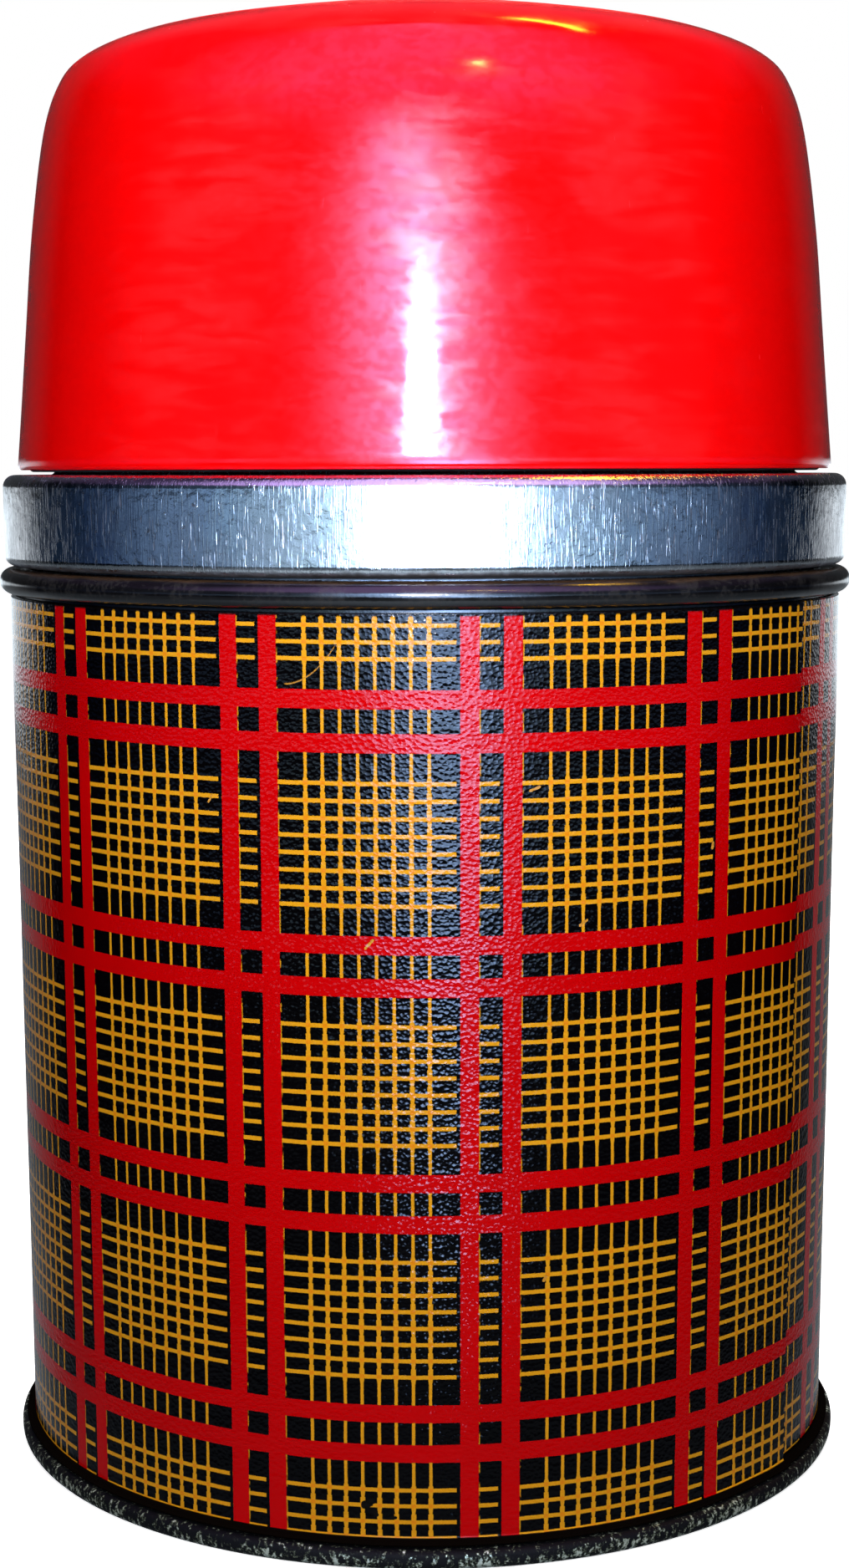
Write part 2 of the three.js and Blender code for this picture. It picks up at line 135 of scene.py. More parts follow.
def rounded(outline):
    """The outline with an arc in place of each corner that has a radius."""
    points = []
    for i, corner in enumerate(outline):
        here = np.array(corner[:2], float)
        if len(corner) < 3:
            points.append(here)
            continue
        back = np.array(outline[i - 1][:2]) - here
        ahead = np.array(outline[(i + 1) % len(outline)][:2]) - here
        reach = CORNER_REACH * min(np.linalg.norm(back), np.linalg.norm(ahead))
        back, ahead = back / np.linalg.norm(back), ahead / np.linalg.norm(ahead)
        half = math.acos(np.clip(back @ ahead, -1, 1)) / 2
        radius = min(corner[2], reach * math.tan(half))
        centre = here + (back + ahead) / np.linalg.norm(back + ahead) * radius / math.sin(half)
        start = here + back * radius / math.tan(half) - centre
        turn = (math.pi - 2 * half) * (1 if back[0] * ahead[1] - back[1] * ahead[0] < 0 else -1)
        steps = max(2, math.ceil(abs(math.degrees(turn)) / CORNER_STEP))
        for a in np.linspace(0, turn, steps + 1):
            c, s = math.cos(a), math.sin(a)
            points.append(centre + (c * start[0] - s * start[1], s * start[0] + c * start[1]))
    return points


def divided(points, longest, closed):
    """The points, with long straight stretches cut into steps."""
    ends = points[1:] + points[:1] if closed else points[1:]
    cut = []
    for start, end in zip(points, ends):
        steps = max(1, math.ceil(np.linalg.norm(end - start) / longest))
        cut += [start + (end - start) * k / steps for k in range(steps)]
    return cut if closed else [*cut, points[-1]]


def new_object(name, verts, faces):
    """An object in metres, from points in millimetres."""
    mesh = bpy.data.meshes.new(name)
    mesh.from_pydata([tuple(v) for v in np.asarray(verts, float) * MM], [], faces)
    mesh.validate()
    made = bpy.data.objects.new(name, mesh)
    bpy.context.scene.collection.objects.link(made)
    return made


def turned(name, outline, columns=COLUMNS, longest=3.0, swell=None):
    """A closed solid of revolution. swell(angle, radius, height) gives each point's own radius."""
    closed = outline[0][0] > 0
    rows = np.array(divided(rounded(outline), longest, closed))
    angles = columns if hasattr(columns, "__len__") else np.arange(columns) * math.tau / columns
    count = len(angles)
    verts = []
    ring_start = []
    for radius, height in rows:
        ring_start.append(len(verts))
        if radius < ON_AXIS:
            verts.append((0, 0, height))
            continue
        radii = swell(angles, radius, height) if swell else np.full(count, radius)
        ring = (radii * np.cos(angles), radii * np.sin(angles), np.full(count, height))
        verts += list(zip(*ring))
    faces = []
    last = len(rows) if closed else len(rows) - 1
    for i in range(last):
        low, high = ring_start[i], ring_start[(i + 1) % len(rows)]
        on_axis = (rows[i][0] < ON_AXIS, rows[(i + 1) % len(rows)][0] < ON_AXIS)
        for j in range(count):
            k = (j + 1) % count
            if on_axis[0]:
                faces.append((low, high + k, high + j))
            elif on_axis[1]:
                faces.append((low + j, low + k, high))
            else:
                faces.append((low + j, low + k, high + k, high + j))
    return new_object(name, verts, faces)


def swept(name, sections):
    """A closed solid whose skin joins equal rings of points; its two ends are flat faces."""
    sides = len(sections[0])
    verts = [point for section in sections for point in section]
    faces = []
    for i in range(len(sections) - 1):
        for j in range(sides):
            k = (j + 1) % sides
            a, b = i * sides, (i + 1) * sides
            faces.append((a + j, a + k, b + k, b + j))
    faces.append(tuple(range(sides))[::-1])
    faces.append(tuple(range((len(sections) - 1) * sides, len(sections) * sides)))
    return new_object(name, verts, faces)


def thread(wall, crest, bottom):
    """The ribs of one thread, bent round the axis and sunk in their wall at both ends."""
    outwards = math.copysign(1, crest - wall)
    buried = wall - outwards * RIB_BURIED
    shoulder = wall + RIB_SHOULDER * (crest - wall)
    root, edge = RIB_ROOT_WIDTH / 2, RIB_CREST_WIDTH / 2
    upper_half = [
        (crest, edge - RIB_CREST_ROUND),
        (shoulder, edge + RIB_SHOULDER_SPREAD),
        (buried, root),
    ]
    section = [(radius, -up) for radius, up in reversed(upper_half)] + upper_half
    if outwards < 0:
        section.reverse()
    ribs = []
    for start in range(THREAD_STARTS):
        sections = []
        for turn in np.linspace(0, RIB_TURN, RIB_SECTIONS):
            from_end = min(turn, RIB_TURN - turn) / RIB_RUN_OUT
            rise = RIB_END_RISE + (1 - RIB_END_RISE) * eased(min(1, max(0, from_end)))
            angle = turn + start * math.tau / THREAD_STARTS
            height = bottom + THREAD_LEAD * turn / math.tau
            ring = []
            for radius, up in section:
                r = buried + (radius - buried) * rise
                ring.append((r * math.cos(angle), r * math.sin(angle), height + up))
            sections.append(ring)
        ribs.append(swept(f"rib_{start}", sections[::-1]))
    return ribs


def joined(body, *others):
    """body with the other closed solids welded to it."""
    for other in others:
        join = body.modifiers.new("join", "BOOLEAN")
        join.operation = "UNION"
        join.solver = "MANIFOLD"
        join.object = other
    graph = bpy.context.evaluated_depsgraph_get()
    whole = bpy.data.meshes.new_from_object(body.evaluated_get(graph))
    body.modifiers.clear()
    body.data = whole
    for other in others:
        bpy.data.objects.remove(other)
    return body


def finished(piece, material, body, slot, *nodes):
    """Smooths the piece, gives it its material and ties it to the frame."""
    mesh = piece.data
    mesh.polygons.foreach_set("use_smooth", [True] * len(mesh.polygons))
    mesh.set_sharp_from_angle(angle=SHARP)
    flats = piece.modifiers.new("flats", "WEIGHTED_NORMAL")
    flats.keep_sharp = True
    mesh.materials.clear()
    mesh.materials.append(material)
    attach(piece, body)
    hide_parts(*nodes)
    return piece


# Material nodes.


class Value:
    """A node's output, which can be added, multiplied and so on."""

    def __init__(self, sheet, socket):
        self.sheet = sheet
        self.socket = socket

    def __add__(self, other):
        return self.sheet.math("ADD", self, other)

    def __sub__(self, other):
        return self.sheet.math("SUBTRACT", self, other)

    def __rsub__(self, other):
        return self.sheet.math("SUBTRACT", other, self)

    def __mul__(self, other):
        return self.sheet.math("MULTIPLY", self, other)

    def __truediv__(self, other):
        return self.sheet.math("DIVIDE", self, other)

    __radd__ = __add__
    __rmul__ = __mul__


class Sheet:
    """A node tree, with the few calls that the materials need."""

    def __init__(self, owner):
        owner.use_nodes = True
        self.tree = owner.node_tree

    def feed(self, socket, value):
        if isinstance(value, Value):
            self.tree.links.new(value.socket, socket)
        else:
            socket.default_value = value

    def node(self, kind, inputs, output=0, **settings):
        made = self.tree.nodes.new("ShaderNode" + kind)
        for name, value in settings.items():
            setattr(made, name, value)
        for name, value in inputs.items():
            self.feed(made.inputs[name], value)
        return Value(self, made.outputs[output])

    def math(self, operation, *values, clamp=False):
        return self.node("Math", dict(enumerate(values)), operation=operation, use_clamp=clamp)

    def clamp(self, value):
        return self.math("ADD", value, 0.0, clamp=True)

    def larger(self, first, second):
        return self.math("MAXIMUM", first, second)

    def mix(self, share, first, second):
        return self.node("MixRGB", {"Fac": share, "Color1": first, "Color2": second})

    def tinted(self, colour, level):
        """The colour multiplied by a level."""
        colour = colour[:3] if isinstance(colour, tuple) else colour
        grey = self.node("CombineXYZ", {0: level, 1: level, 2: level})
        return self.node("VectorMath", {0: colour, 1: grey}, operation="MULTIPLY")

    def sum(self, first, second):
        return self.node("VectorMath", {0: first, 1: second}, operation="ADD")

    def noise(self, scale, detail=3.0, where=None, twist=0.0):
        """Smooth noise with an average of 0.5, with scale in waves per metre of the place."""
        where = where or self.place()
        inputs = {"Scale": scale, "Detail": detail, "Vector": where, "Distortion": twist}
        return self.node("TexNoise", inputs)

    def ramp(self, value, *stops):
        """A colour for each value, from (value, colour) stops in order."""
        made = self.node("ValToRGB", {"Fac": value})
        elements = made.socket.node.color_ramp.elements
        elements[0].position, elements[-1].position = stops[0][0], stops[-1][0]
        for position, _ in stops[1:-1]:
            elements.new(position)
        for element, (_, colour) in zip(elements, stops):
            element.color = colour
        return made

    def range(self, value, start, end, to_start=0.0, to_end=1.0):
        """value carried from one range to another, and kept inside it."""
        inputs = {0: value, 1: start, 2: end, 3: to_start, 4: to_end}
        return self.node("MapRange", inputs, interpolation_type="SMOOTHSTEP")

    def stripe(self, place, centre, width, soft=0.07):
        """1 in a stripe across place, 0 outside it."""
        off = self.math("ABSOLUTE", place - centre)
        return self.clamp((width * 0.5 - off) * (1 / soft) + 0.5)

    def bump(self, height, distance, strength=1.0, under=None):
        inputs = {"Height": height, "Distance": distance * MM, "Strength": strength}
        if under:
            inputs["Normal"] = under
        return self.node("Bump", inputs)

    def place(self, stretch=(1, 1, 1)):
        """The point's place on the piece in metres, each axis multiplied by its stretch."""
        here = self.node("TexCoord", {}, "Object")
        if tuple(stretch) == (1, 1, 1):
            return here
        return self.node("VectorMath", {0: here, 1: stretch}, operation="MULTIPLY")

    def around(self):
        """The angle from the front towards +X in radians, and the height in millimetres."""
        axes = self.node("SeparateXYZ", {0: self.place()}).socket.node.outputs
        x, y, z = (Value(self, axis) for axis in axes)
        return self.math("ARCTAN2", x, y * -1.0), z * (1 / MM)


def surface(name, **sockets):
    """A new material and its node sheet, with the shader's own sockets set."""
    material = bpy.data.materials.new(name)
    sheet = Sheet(material)
    sheet.shader = sheet.tree.nodes["Principled BSDF"].inputs
    for key, value in sockets.items():
        sheet.shader[key.replace("_", " ")].default_value = value
    return material, sheet


def rgb(red, green, blue):
    """A screen colour, 0 to 255, as linear light."""
    linear = []
    for part in (red, green, blue):
        share = part / 255
        linear.append(share / 12.92 if share <= 0.04045 else ((share + 0.055) / 1.055) ** 2.4)
    return (*linear, 1.0)


# The plaid print.

# Millimetres. Across is measured round the case from the front towards +X, and down from the first
# red band's centre.
PLAID_ACROSS = 24.04  # one repeat
PLAID_DOWN = 23.94
RED_WIDTH = 1.87
RED_GAP = 4.22  # between the centres of a pair of red bands
FIRST_RED_ACROSS = 4.30  # the pair's first centre line, round the case
FIRST_RED_HEIGHT = 88.1  # and up it
YELLOW_COUNT = 8
YELLOW_PITCH_ACROSS = 1.732
YELLOW_PITCH_DOWN = 1.707
YELLOW_UPRIGHT_WIDTH = 0.32
YELLOW_UPRIGHT_FLARE = 0.17  # how much wider the uprights are just below a crossing
YELLOW_LEVEL_WIDTH = 0.42
FIRST_YELLOW_ACROSS = 8.0  # from the first red band's centre
FIRST_YELLOW_DOWN = 8.11
SHORT_OF_RED = 0.42  # where the level yellow lines stop before a red band's edge
INK_RAGGED = 0.07  # how far the ink's edges stray, finely and in slow waves
INK_WAVY = 0.10
STRETCHED_ABOVE = 92.0  # the print is a little stretched where the case is beaded
STRETCH = 0.07
SEAM_SKEW = 0.45  # how far the print's ends miss each other at the side seam


def plaid_masks(sheet, radius):
    """The print's red, yellow and crossing masks, and the place round and up the case."""
    angle, height = sheet.around()
    past_seam = sheet.math("GREATER_THAN", angle, LAP_ANGLE)
    across = (angle - past_seam * math.tau) * radius
    height = height + across * (SEAM_SKEW / (math.tau * radius))
    near_bead = sheet.math("MAXIMUM", height - STRETCHED_ABOVE, 0.0)
    printed = height + near_bead * STRETCH

    stray = (sheet.noise(5200, 1.0) - 0.5) * INK_RAGGED + (sheet.noise(260, 1.0) - 0.5) * INK_WAVY
    across = across + stray
    down = FIRST_RED_HEIGHT - printed + stray

    half = RED_WIDTH / 2
    u = sheet.math("FLOORED_MODULO", across - (FIRST_RED_ACROSS - half), PLAID_ACROSS) - half
    v = sheet.math("FLOORED_MODULO", down + half, PLAID_DOWN) - half

    def red(place):
        return sheet.larger(sheet.stripe(place, 0, RED_WIDTH), sheet.stripe(place, RED_GAP, RED_WIDTH))

    def nearest(place, first, pitch):
        """How far place is past the nearest yellow line."""
        index = sheet.math("ROUND", (place - first) * (1 / pitch))
        index = sheet.math("MINIMUM", sheet.math("MAXIMUM", index, 0.0), YELLOW_COUNT - 1.0)
        return place - first - index * pitch

    def before(centre):
        """1 until just short of the red band with that centre."""
        stop = centre - half - SHORT_OF_RED
        return sheet.range(u, stop, stop + 0.1, 1, 0)

    after_reds_u = sheet.range(u, RED_GAP, RED_GAP + 0.2)
    after_reds_v = sheet.range(v, RED_GAP, RED_GAP + 0.2)
    below_line = nearest(v, FIRST_YELLOW_DOWN, YELLOW_PITCH_DOWN)
    in_grid = sheet.range(v, FIRST_YELLOW_DOWN - 0.6, FIRST_YELLOW_DOWN - 0.3)
    flared = sheet.range(below_line, 0.0, 0.9, 1, 0) * in_grid
    upright_width = flared * YELLOW_UPRIGHT_FLARE + YELLOW_UPRIGHT_WIDTH
    from_upright = nearest(u, FIRST_YELLOW_ACROSS, YELLOW_PITCH_ACROSS)
    upright = sheet.stripe(from_upright, 0, upright_width)
    level = sheet.stripe(below_line, 0, YELLOW_LEVEL_WIDTH)
    run = after_reds_u * before(PLAID_ACROSS)
    gap_run = (1 - after_reds_u) * before(RED_GAP)
    level = level * sheet.larger(run, gap_run) * after_reds_v

    red_u, red_v = red(u), red(v)
    sliver_places = sheet.larger(
        sheet.stripe(u, half + 0.06, 0.13), sheet.stripe(u, RED_GAP + half + 0.06, 0.13)
    )
    sliver = sliver_places * sheet.range(sheet.noise(900, 1.0), 0.42, 0.55)
    yellow = sheet.larger(sheet.larger(upright, level), sliver * 0.75)
    return sheet.larger(red_u, red_v), yellow, upright * level, across, height


SCRATCH_START = (-13.7, 89.5)  # the long curved scratch under the bead: (across, height)
SCRATCH_SIZE = (5.0, 3.65)
CHIPS = [  # (across, height, length, lean in degrees, half width) of the chipped spots
    (-6.1, 6.6, 0.5, 30, 0.42),
    (-5.2, 5.6, 0.3, 120, 0.20),
    (-3.4, 5.2, 0.4, 10, 0.14),
    (-5.5, 64.3, 1.1, 48, 0.10),
    (10.7, 79.4, 1.0, 20, 0.09),
    (15.8, 66.0, 0.9, 35, 0.10),
    (31.2, 72.6, 0.5, 80, 0.15),
    (12.0, 30.0, 0.4, 60, 0.14),
    (38.0, 22.0, 0.6, 100, 0.22),
    (-22.0, 78.0, 0.8, 60, 0.08),
    (-70.0, 47.0, 1.4, 70, 0.3),
    (95.0, 80.0, 0.9, 20, 0.3),
    (-120.0, 12.0, 1.2, 140, 0.5),
    (132.0, 55.0, 2.0, 50, 0.3),
]


def plaid_wear(sheet, across, height):
    """The scratch and the chips, as one mask."""
    along = (across - SCRATCH_START[0]) * (1 / SCRATCH_SIZE[0])
    path = along * along * SCRATCH_SIZE[1] + SCRATCH_START[1]
    scratch = sheet.stripe(height, path, 0.13, 0.10)
    wear = scratch * sheet.stripe(along, 0.5, 1.0, 0.05) * 0.8
    rough_edge = sheet.noise(2600, 2.0) * 0.8 + 0.6
    for x, z, length, lean, half_width in CHIPS:
        c, s = math.cos(math.radians(lean)), math.sin(math.radians(lean))
        beside, above = across - x, height - z
        reach = sheet.math("MINIMUM", beside * c + above * s, length / 2)
        reach = sheet.math("MAXIMUM", reach, -length / 2)
        beside, above = beside - reach * c, above - reach * s
        off = sheet.math("SQRT", beside * beside + above * above) * rough_edge
        wear = sheet.larger(wear, sheet.range(off, half_width, half_width + 0.06, 1, 0))
    return wear


def plaid_tinplate():
    bottom, top, _ = extent("jacket")
    bottom -= FOOT_DROP
    material, sheet = surface(
        "plaid_tinplate", Coat_Roughness=0.09, Coat_IOR=1.36, Specular_IOR_Level=0.0
    )
    red, yellow, crossing, across, height = plaid_masks(sheet, JACKET_RADIUS)
    blotch = sheet.noise(140, 4.0)
    grain = sheet.noise(6000, 2.0)
    black = sheet.mix(blotch, rgb(1, 1, 2), rgb(6, 4, 6))
    red_ink = sheet.mix(blotch, rgb(188, 0, 3), rgb(204, 0, 4))
    yellow_ink = sheet.mix(grain, rgb(212, 140, 6), rgb(236, 172, 36))
    colour = sheet.mix(yellow, black, yellow_ink)
    colour = sheet.mix(crossing * 0.55, colour, rgb(228, 118, 8))
    colour = sheet.mix(red, colour, red_ink)
    wear = plaid_wear(sheet, across, height)
    bared = sheet.mix(grain, rgb(150, 92, 20), rgb(240, 176, 70))
    bared = sheet.mix(sheet.range(height, 8, 12), rgb(14, 10, 8), bared)
    colour = sheet.mix(wear, colour, bared)
    # Painted shade and print margin: the print is darkened to near black in a band at its top, under
    # the bead, and on the foot's lip at its bottom, where it meets the base's rim. Part of this is the
    # print's black margin; the rest is painted shade under the bead's overhang and in the joint above
    # the rim.
    edge_margin_and_shade = sheet.range(height, bottom + 0.64, bottom + 0.54)
    edge_margin_and_shade = sheet.larger(edge_margin_and_shade, sheet.range(height, top - 0.4, top - 0.15))
    colour = sheet.mix(edge_margin_and_shade, colour, rgb(8, 5, 4))
    sheet.feed(sheet.shader["Base Color"], colour)
    rubbed = sheet.range(sheet.noise(60, 5.0), 0.35, 0.7, 0.40, 0.6)
    sheet.feed(sheet.shader["Roughness"], rubbed)
    sheet.feed(sheet.shader["Coat Weight"], sheet.range(height, bottom + 0.5, bottom + 0.9, 0.0, 0.9))
    grains = sheet.node("TexVoronoi", {"Vector": sheet.place(), "Scale": 2300.0}, "Distance")
    peel = grains + sheet.noise(1300, 2.0) * 0.7
    coat_normal = sheet.bump(peel, 0.036, 1.0, sheet.bump(sheet.noise(160, 2.0), 0.05, 0.4))
    sheet.feed(sheet.shader["Coat Normal"], coat_normal)
    sheet.feed(sheet.shader["Normal"], sheet.bump(wear * -1.0 + grain * 0.04, 0.05, 0.6))
    return material


# The other materials.


def polished_metal():
    """Scuffed bright plating, with fine scratches up and down and grime along the lower edge."""
    material, sheet = surface("polished_metal", Metallic=1.0)
    _, height = sheet.around()
    hairs = sheet.noise(1.0, 3.0, sheet.place((4800, 4800, 300)))
    strokes = sheet.noise(1.0, 2.0, sheet.place((4200, 4200, 420)), 0.5)
    cloud = sheet.noise(170, 6.0)
    pits = sheet.noise(1500, 3.0)
    worn = sheet.range(sheet.noise(90, 3.0), 0.40, 0.66)
    hair_mask = sheet.range(hairs, 0.48, 0.70)
    stroke_mask = sheet.range(strokes + worn * 0.07, 0.63, 0.74)
    pit_mask = sheet.range(pits, 0.66, 0.76)
    shine = sheet.mix(cloud, (0.42, 0.44, 0.46, 1), (0.78, 0.80, 0.82, 1))
    shine = sheet.mix(stroke_mask * 0.3, shine, (0.95, 0.96, 0.97, 1))
    shine = sheet.mix(pit_mask * 0.55, shine, (0.10, 0.10, 0.12, 1))
    ragged_height = height + (sheet.noise(600, 4.0) - 0.5) * 1.0
    grime = sheet.range(ragged_height, COLLAR_LOW + 0.7, COLLAR_LOW + 0.1)
    grime = grime * sheet.range(height, COLLAR_LOW - 0.4, COLLAR_LOW - 0.1)
    colour = sheet.mix(grime * 0.85, shine, (0.060, 0.042, 0.026, 1))
    sheet.feed(sheet.shader["Base Color"], colour)
    rough = sheet.range(cloud, 0.3, 0.7, 0.12, 0.24) + stroke_mask * 0.2 + hair_mask * 0.05
    sheet.feed(sheet.shader["Roughness"], sheet.clamp(rough + grime * 0.4 + pit_mask * 0.2))
    uneven = sheet.bump(sheet.noise(700, 4.0), 0.07, 0.8, sheet.bump(cloud, 0.05, 0.4))
    relief = sheet.bump(hair_mask, 0.010, 1.0, uneven)
    sheet.feed(sheet.shader["Normal"], sheet.bump(pit_mask * -1.0 - stroke_mask, 0.010, 1.0, relief))
    return material


def dark_steel():
    """Blackened steel, rubbed to grey here and there, with brown grime in the corners."""
    material, sheet = surface("dark_steel", Specular_IOR_Level=0.9)
    _, height = sheet.around()
    cloud = sheet.noise(240, 5.0)
    speck = sheet.noise(2200, 3.0)
    rubbed = sheet.range(speck * 0.5 + cloud * 0.5, 0.52, 0.64)
    colour = sheet.mix(cloud, rgb(5, 4, 6), rgb(24, 23, 26))
    colour = sheet.mix(rubbed * 0.5, colour, rgb(84, 82, 82))
    grime = sheet.range(height + (cloud - 0.5) * 0.6, BEAD_TOP - 0.35, BEAD_TOP - 0.05)
    colour = sheet.mix(grime * 0.8, colour, rgb(72, 50, 32))
    sheet.feed(sheet.shader["Base Color"], colour)
    sheet.feed(sheet.shader["Metallic"], sheet.range(rubbed, 0.0, 1.0, 0.25, 0.7))
    sheet.feed(sheet.shader["Roughness"], sheet.range(cloud, 0.3, 0.7, 0.12, 0.26))
    relief = sheet.bump(speck, 0.012, 0.8, sheet.bump(cloud, 0.12, 0.4))
    sheet.feed(sheet.shader["Normal"], relief)
    return material


def base_steel():
    """Bare steel gone nearly black, with pale flecks where it is rubbed bright."""
    material, sheet = surface("base_steel", Specular_IOR_Level=0.12)
    _, height = sheet.around()
    streaks = sheet.noise(1.0, 5.0, sheet.place((1900, 1900, 1100)), 0.3)
    blots = sheet.noise(260, 6.0)
    fine = sheet.noise(4200, 3.0)
    tone = streaks * 0.5 + blots * 0.25 + fine * 0.25
    tone = tone + sheet.range(height, 0.8, 2.2, 0.03, -0.02)
    colour = sheet.ramp(
        tone,
        (0.49, rgb(2, 2, 2)),
        (0.52, rgb(20, 22, 17)),
        (0.55, rgb(78, 84, 68)),
        (0.57, rgb(140, 148, 132)),
        (0.60, rgb(205, 212, 200)),
    )
    sheet.feed(sheet.shader["Base Color"], colour)
    sheet.feed(sheet.shader["Metallic"], sheet.range(tone, 0.52, 0.58, 0.0, 0.5))
    sheet.feed(sheet.shader["Roughness"], sheet.range(tone, 0.50, 0.58, 0.7, 0.35))
    sheet.feed(sheet.shader["Normal"], sheet.bump(tone, 0.10, 0.8, sheet.bump(fine, 0.02, 0.5)))
    return material


def red_plastic():
    """Glossy moulded plastic, scuffed by handling and matt where the cup is stood on its top."""
    material, sheet = surface("red_plastic", Specular_Tint=(0.8, 0.75, 1.0, 1))
    smudge = sheet.noise(1.0, 6.0, sheet.place((60, 60, 80)), 0.6)
    wipe = sheet.noise(1.0, 5.0, sheet.place((150, 150, 700)), 0.3)
    hairs = sheet.noise(1.0, 2.0, sheet.place((1500, 1500, 120)))
    scuffed = sheet.range(smudge * 0.5 + wipe * 0.5, 0.42, 0.62)
    hair = sheet.range(hairs, 0.70, 0.80)
    _, height = sheet.around()
    matt = sheet.range(height, CUP_TOP - 2.6, CUP_TOP - 1.2)
    cells = {"Vector": sheet.place(), "Scale": 120.0}
    distance = sheet.node("TexVoronoi", cells, "Distance")
    chosen = sheet.node("TexVoronoi", cells, "Color")
    pick = sheet.node("SeparateXYZ", {0: chosen})
    nick = sheet.range(distance, 0.05, 0.09, 1, 0) * sheet.math("GREATER_THAN", pick, 0.90)
    colour = sheet.mix(smudge, (0.84, 0.0006, 0.0009, 1), (0.94, 0.0010, 0.0012, 1))
    colour = sheet.mix(nick * 0.5, colour, (0.75, 0.35, 0.30, 1))
    scraped = sheet.range(height, CUP_TOP - 0.45, CUP_TOP - 0.1)
    scraped = scraped * sheet.range(wipe, 0.35, 0.6, 0.35, 0.9)
    colour = sheet.mix(scraped, colour, (0.62, 0.016, 0.014, 1))
    sheet.feed(sheet.shader["Base Color"], colour)
    rough = scuffed * 0.17 + hair * 0.12 + matt * 0.62 + 0.06
    sheet.feed(sheet.shader["Roughness"], sheet.clamp(rough))
    wiped = sheet.noise(1.0, 6.0, sheet.place((300, 300, 520)), 1.2) * 0.6
    wiped = wiped + sheet.noise(1300, 3.0) * 0.4
    gloss = sheet.range(wiped, 0.40, 0.60, 0.36, 0.60) * (1 - matt * 0.8)
    sheet.feed(sheet.shader["Specular IOR Level"], gloss)
    relief = sheet.bump(smudge, 0.04, 0.08)
    relief = sheet.bump(nick * -1.0 - hair * 0.25 + wipe * 0.03, 0.012, 1.0, relief)
    sheet.feed(sheet.shader["Normal"], relief)
    return material


def ivory_plastic():
    """Moulded plastic gone slightly yellow, with faint stains."""
    material, sheet = surface("ivory_plastic", Subsurface_Weight=0.15, Subsurface_Scale=0.004)
    age = sheet.noise(45, 5.0)
    stain = sheet.range(sheet.noise(160, 6.0), 0.58, 0.75)
    colour = sheet.mix(age, rgb(238, 228, 203), rgb(226, 209, 172))
    colour = sheet.mix(stain * 0.35, colour, rgb(176, 140, 92))
    sheet.feed(sheet.shader["Base Color"], colour)
    sheet.feed(sheet.shader["Roughness"], sheet.range(age, 0.3, 0.7, 0.32, 0.5))
    moulded = sheet.bump(sheet.noise(3000, 2.0), 0.01, 0.6)
    sheet.feed(sheet.shader["Normal"], sheet.bump(age, 0.2, 0.2, moulded))
    return material


def silvered_glass():
    """Blown glass with silver behind it: a mirror under a clear wavy skin."""
    material, sheet = surface("silvered_glass", Metallic=1.0, Coat_Weight=1.0, Coat_Roughness=0.03)
    cloud = sheet.noise(70, 5.0)
    smear = sheet.range(sheet.noise(1.0, 4.0, sheet.place((90, 90, 25))), 0.5, 0.7)
    colour = sheet.mix(cloud, (0.72, 0.74, 0.77, 1), (0.88, 0.89, 0.90, 1))
    sheet.feed(sheet.shader["Base Color"], sheet.mix(smear * 0.4, colour, (0.62, 0.60, 0.54, 1)))
    sheet.feed(sheet.shader["Roughness"], smear * 0.16 + 0.07)
    sheet.feed(sheet.shader["Normal"], sheet.bump(cloud, 0.25, 0.3))
    return material


def black_rubber():
    material, sheet = surface("black_rubber", Specular_IOR_Level=0.4)
    bloom = sheet.noise(180, 5.0)
    sheet.feed(sheet.shader["Base Color"], sheet.mix(bloom, rgb(22, 22, 24), rgb(52, 51, 50)))
    sheet.feed(sheet.shader["Roughness"], sheet.range(bloom, 0.3, 0.7, 0.55, 0.85))
    sheet.feed(sheet.shader["Normal"], sheet.bump(sheet.noise(4000, 3.0), 0.03, 0.7))
    return material


def fibrous(name, dark, pale, scale):
    """Felt, card or foam: a matt stuff whose grain shows in its colour and relief."""
    material, sheet = surface(name, Specular_IOR_Level=0.2, Roughness=0.95)
    grain = sheet.noise(scale, 6.0)
    cloud = sheet.noise(scale / 12, 3.0)
    tone = sheet.range(grain * 0.65 + cloud * 0.35, 0.36, 0.64)
    sheet.feed(sheet.shader["Base Color"], sheet.mix(tone, dark, pale))
    sheet.feed(sheet.shader["Normal"], sheet.bump(grain, 0.25, 0.9))
    return material


# The case.


def base_pan():
    """Pressed base: a rolled rim to stand on and a panel stiffened by a pressed ring."""
    floor, panel, rim = extent("base_pan")
    wall = rim - 2.4
    under = panel - 0.7
    roll_top = floor + 2.9 - FOOT_DROP
    outline = [
        (0, under),
        (26.5, under, 2),
        (28, under - 0.9, 2),
        (33, under - 0.9, 2),
        (34.5, under, 2),
        (wall - 0.8, under, 0.9),
        (wall - 0.8, floor, 0.35),
        (rim, floor, 1.25),
        (rim, roll_top, 0.7),
        (wall, roll_top, 0.2),
        (wall, panel, 0.9),
        (35, panel, 2),
        (33.4, panel - 0.9, 2),
        (27.6, panel - 0.9, 2),
        (26, panel, 2),
        (0, panel),
    ]
    return turned("base_pan", outline)


